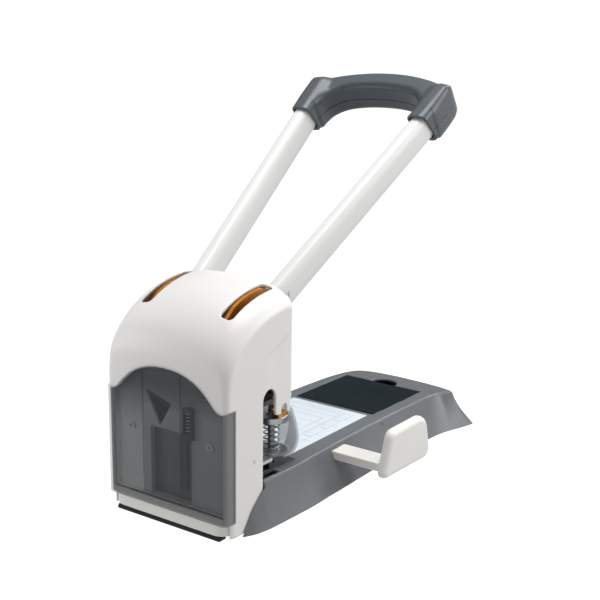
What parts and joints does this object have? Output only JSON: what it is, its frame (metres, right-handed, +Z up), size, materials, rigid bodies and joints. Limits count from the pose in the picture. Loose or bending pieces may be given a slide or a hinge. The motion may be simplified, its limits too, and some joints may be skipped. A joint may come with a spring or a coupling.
{
  "type": "two-hole lever paper punch",
  "caption": "Heavy-duty lever punch for paper: domed head over a flat base, long twin-arm handle with a grip bar, clear front cover, side guide and storage lid.",
  "frame": {"origin": "on the table, midway between the two punches, on the centre foot pad", "axes": "+X to the right seen from the front, +Y towards the back where the handle rises, +Z up"},
  "size_m": [0.1976, 0.3855, 0.3592],
  "materials": {
    "white_abs": "moulded, glossy",
    "base_grey": "satin, fine texture",
    "grip_grey": "satin",
    "smoke_clear": "smoke-grey clear plastic",
    "panel_grey": "satin",
    "orange_plate": "yellow passivated, satin",
    "zinc": "zinc plated",
    "steel": "ground",
    "bronze": "sintered",
    "black_gloss": "glossy",
    "rubber": "matt",
    "sheet": "printed film"
  },
  "bodies": {
    "base": {"base_shell": "base_grey", "bottom_cover": "rubber", "foot_pads": "rubber", "base_screws": "zinc", "die_plate": "steel", "die_screws": "zinc", "paper_stop": "steel", "bed_label": "sheet", "storage_tray": "black_gloss", "lid_hinge_pin": "zinc", "guide_rail": "base_grey", "head_frame": "steel", "frame_bolts": "zinc", "upper_guide_plate": "steel", "lower_guide_plate": "zinc", "plate_screws": "zinc", "pivot_bushes": "bronze", "head_housing": "white_abs", "housing_screws": "zinc", "rear_cover": "white_abs", "inner_panel": "panel_grey", "panel_screws": "zinc", "cover_catch": "panel_grey", "catch_spring": "zinc", "guard_left": "smoke_clear", "guard_right": "smoke_clear", "spring_left": "zinc", "spring_right": "zinc"},
    "handle": {"pivot_shaft": "steel", "pivot_clips": "zinc", "lever_gear_left": "orange_plate", "lever_gear_right": "orange_plate", "arm_left": "white_abs", "arm_right": "white_abs", "arm_rivets": "zinc", "grip_upper": "grip_grey", "grip_lower": "grip_grey", "grip_screws": "zinc"},
    "punch_set": {"crosshead": "zinc", "punch_left": "steel", "punch_right": "steel", "punch_clips": "zinc", "rack_left": "orange_plate", "rack_right": "orange_plate", "rack_screws": "zinc"},
    "cover": {"front_cover": "smoke_clear"},
    "drawer": {"chip_drawer": "white_abs"},
    "guide": {"guide_arm": "white_abs", "guide_paddle": "white_abs", "guide_screw": "zinc"},
    "lid": {"storage_lid": "black_gloss"}
  },
  "joints": [
    {"name": "handle_press", "type": "hinge", "parent": "base", "child": "handle", "pos_m": [0, -0.035, 0.156], "axis": [-1, 0, 0], "range_deg": [0, 30], "stiffness_Nm_per_rad": 4.17, "springref_deg": -35.52},
    {"name": "crosshead_slide", "type": "slide", "parent": "base", "child": "punch_set", "axis": [0, 0, -1], "range_m": [0, 0.0134], "deforming": ["spring_left", "spring_right"]},
    {"name": "cover_slide", "type": "slide", "parent": "base", "child": "cover", "axis": [0, -1, 0], "range_m": [0, 0.03]},
    {"name": "drawer_slide", "type": "slide", "parent": "base", "child": "drawer", "axis": [0, -1, 0], "range_m": [0, 0.095]},
    {"name": "guide_slide", "type": "slide", "parent": "base", "child": "guide", "axis": [1, 0, 0], "range_m": [-0.015, 0.0385]},
    {"name": "lid_hinge", "type": "hinge", "parent": "base", "child": "lid", "pos_m": [0, 0.15896, 0.03426], "axis": [1, 0, 0], "range_deg": [0, 80]}
  ],
  "couplings": [
    {"joint": "crosshead_slide", "follows": "handle_press", "m_per_rad": 0.0255}
  ]
}
